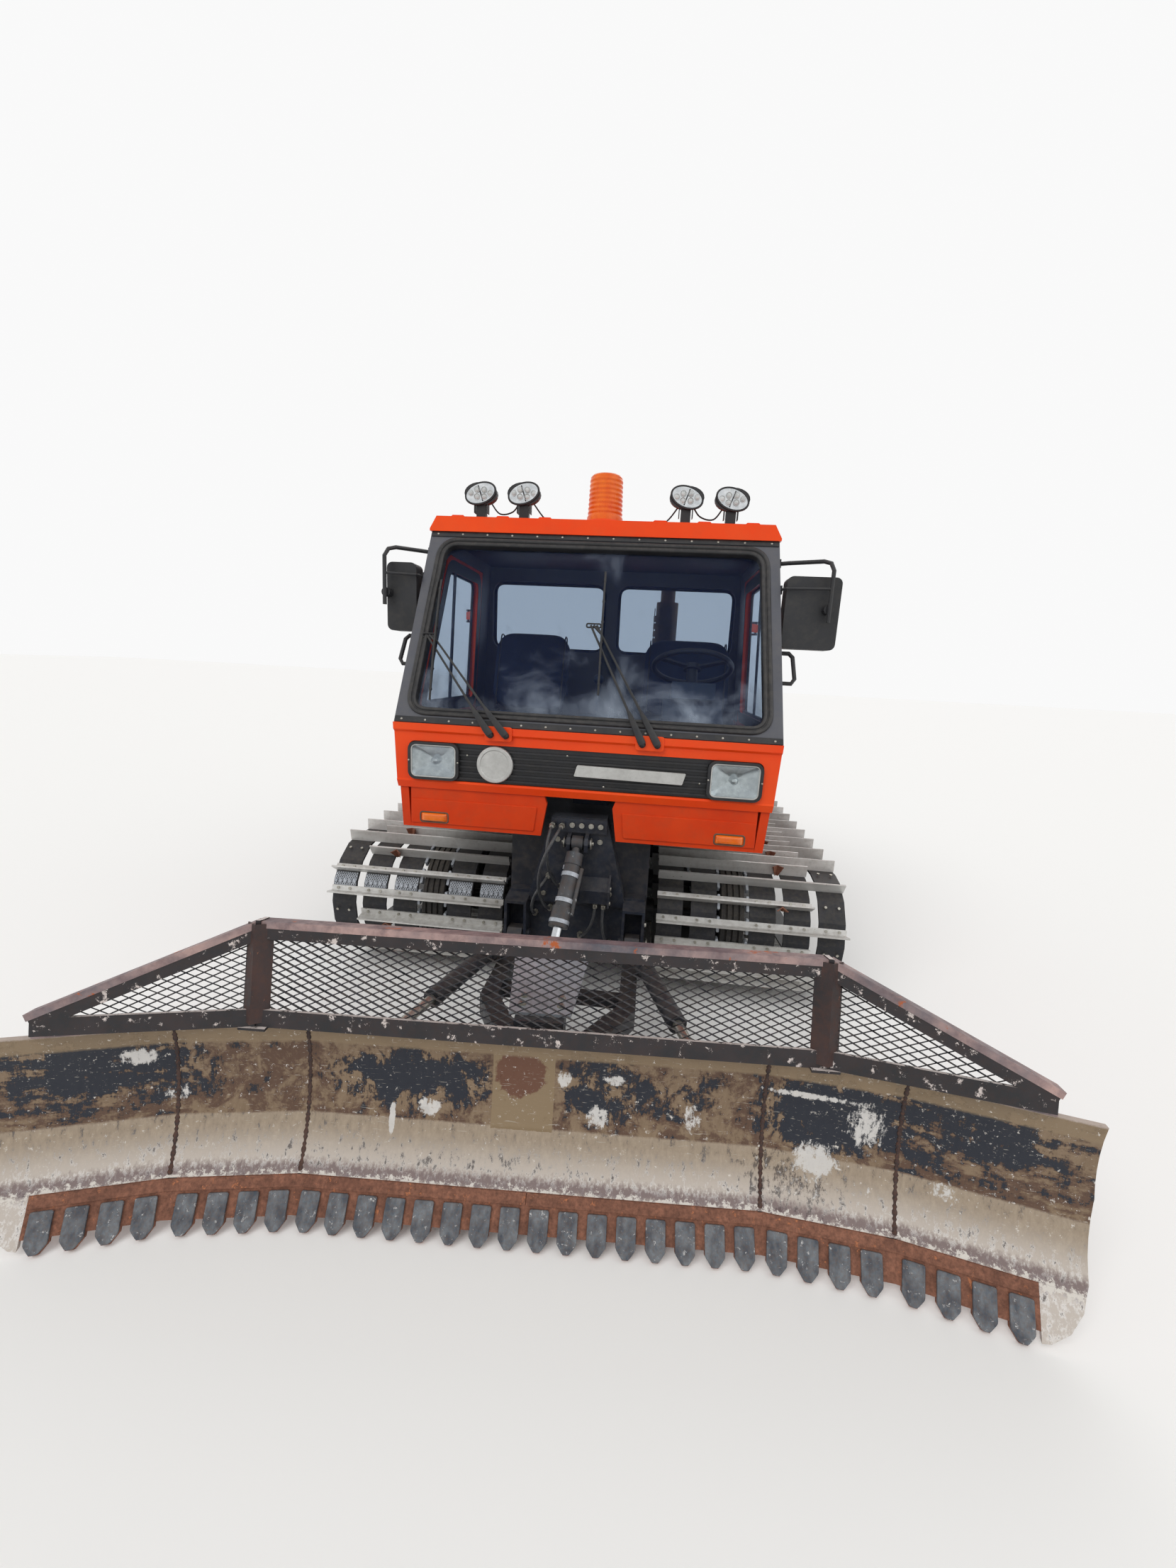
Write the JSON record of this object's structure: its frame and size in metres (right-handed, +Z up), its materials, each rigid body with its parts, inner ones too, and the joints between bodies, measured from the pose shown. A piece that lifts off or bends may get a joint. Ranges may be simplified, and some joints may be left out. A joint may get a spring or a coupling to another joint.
{
  "type": "tracked snow groomer",
  "caption": "Narrow tracked snow groomer with a toothed push blade and guard screen, a two-seat cab and a load deck behind it.",
  "frame": {"origin": "on the ground, under the middle of the bounding box", "axes": "+Z up, +Y to the rear, +X to the driver side"},
  "size_m": [2.975, 5.1435, 2.494],
  "materials": {
    "orange_paint": "satin",
    "dark_paint": "satin",
    "grey_paint": "satin",
    "worn_steel": "worn",
    "rusty_steel": "rusty",
    "galvanised": "satin",
    "aluminium": "worn",
    "chrome": "polished",
    "belt_rubber": "matte",
    "tyre_rubber": "matte",
    "black_plastic": "matte",
    "blue_grey_plastic": "matte",
    "seat_fabric": "matte",
    "glass": "clear",
    "amber": "gloss",
    "red_lens": "gloss"
  },
  "bodies": {
    "vehicle": {"tub": "dark_paint", "front_tower": "dark_paint", "axles": "dark_paint", "rims": "dark_paint", "tyres": "tyre_rubber", "sprockets": "black_plastic", "belts": "belt_rubber", "track_bars": "aluminium", "cab_floor": "dark_paint", "cab_nose": "orange_paint", "lower_panels": "orange_paint", "grille": "black_plastic", "headlamps": "chrome", "indicators": "amber", "windscreen_frame": "grey_paint", "side_frames": "grey_paint", "rear_wall": "grey_paint", "cab_glass": "glass", "roof": "orange_paint", "beacon": "amber", "work_lamps": "black_plastic", "wipers": "black_plastic", "mirrors": "black_plastic", "mirror_arms": "black_plastic", "grab_handles": "black_plastic", "console": "blue_grey_plastic", "steering_wheel": "black_plastic", "seat_bases": "black_plastic", "seat_cushions": "seat_fabric", "engine": "worn_steel", "deck": "dark_paint", "engine_box": "dark_paint", "deck_rails": "dark_paint", "exhaust_stack": "rusty_steel", "tail_lamps": "red_lens", "rear_hitch": "dark_paint", "hoses": "belt_rubber"},
    "front_frame": {"push_frame": "dark_paint"},
    "blade": {"blade_carrier": "dark_paint", "step_plate": "galvanised", "moldboard": "worn_steel", "cutting_edge": "rusty_steel", "screen_bars": "dark_paint", "screen_mesh": "dark_paint"},
    "lift_barrel_body": {"lift_barrel": "worn_steel"},
    "lift_rod_body": {"lift_rod": "chrome"},
    "angle_barrel_left_body": {"angle_barrel_left": "dark_paint"},
    "angle_rod_left_body": {"angle_rod_left": "chrome"},
    "angle_barrel_right_body": {"angle_barrel_right": "dark_paint"},
    "angle_rod_right_body": {"angle_rod_right": "chrome"},
    "left_door": {"door_left": "orange_paint", "door_glass_left": "glass"},
    "right_door": {"door_right": "orange_paint", "door_glass_right": "glass"},
    "hood": {"engine_hood": "orange_paint"}
  },
  "joints": [
    {"name": "blade_lift", "type": "hinge", "parent": "vehicle", "child": "front_frame", "pos_m": [0, -1.237, 0.41], "axis": [-1, 0, 0], "range_deg": [-5, 28]},
    {"name": "blade_angle", "type": "hinge", "parent": "front_frame", "child": "blade", "pos_m": [0, -2.02467, 0.33], "axis": [0, 0, 1], "range_deg": [-23, 16]},
    {"name": "lift_barrel_turn", "type": "hinge", "parent": "vehicle", "child": "lift_barrel_body", "pos_m": [0, -1.247, 0.861], "axis": [-1, 0, 0], "range_deg": [-2.71, 12.88]},
    {"name": "lift_rod_slide", "type": "slide", "parent": "lift_barrel_body", "child": "lift_rod_body", "axis": [-0.1131, -0.5776, -0.8084], "range_m": [-0.1468, 0.0278]},
    {"name": "angle_barrel_left_turn", "type": "hinge", "parent": "front_frame", "child": "angle_barrel_left_body", "pos_m": [-0.323, -1.477, 0.43], "axis": [0, 0, 1], "range_deg": [-7.33, 5.25]},
    {"name": "angle_rod_left_slide", "type": "slide", "parent": "angle_barrel_left_body", "child": "angle_rod_left_body", "axis": [-0.2606, -0.9655, 0], "range_m": [-0.1886, 0.1318]},
    {"name": "angle_barrel_right_turn", "type": "hinge", "parent": "front_frame", "child": "angle_barrel_right_body", "pos_m": [0.323, -1.477, 0.43], "axis": [0, 0, 1], "range_deg": [-7.66, 5.48]},
    {"name": "angle_rod_right_slide", "type": "slide", "parent": "angle_barrel_right_body", "child": "angle_rod_right_body", "axis": [0.2976, -0.9547, 0], "range_m": [-0.1299, 0.1859]},
    {"name": "left_door_turn", "type": "hinge", "parent": "vehicle", "child": "left_door", "pos_m": [-0.838, -0.184, 1.5], "axis": [0, 0, -1], "range_deg": [0, 75]},
    {"name": "right_door_turn", "type": "hinge", "parent": "vehicle", "child": "right_door", "pos_m": [0.838, -0.184, 1.5], "axis": [0, 0, 1], "range_deg": [0, 75]},
    {"name": "engine_hood_turn", "type": "hinge", "parent": "vehicle", "child": "hood", "pos_m": [0, 0.293, 1.394], "axis": [1, 0, 0], "range_deg": [0, 62]}
  ],
  "couplings": [
    {"joint": "lift_barrel_turn", "follows": "blade_lift", "ratio": 0.44227},
    {"joint": "lift_rod_slide", "follows": "blade_lift", "m_per_rad": -0.2962},
    {"joint": "angle_barrel_left_turn", "follows": "blade_angle", "ratio": 0.29689},
    {"joint": "angle_rod_left_slide", "follows": "blade_angle", "m_per_rad": 0.46472},
    {"joint": "angle_barrel_right_turn", "follows": "blade_angle", "ratio": 0.31108},
    {"joint": "angle_rod_right_slide", "follows": "blade_angle", "m_per_rad": -0.45814}
  ]
}
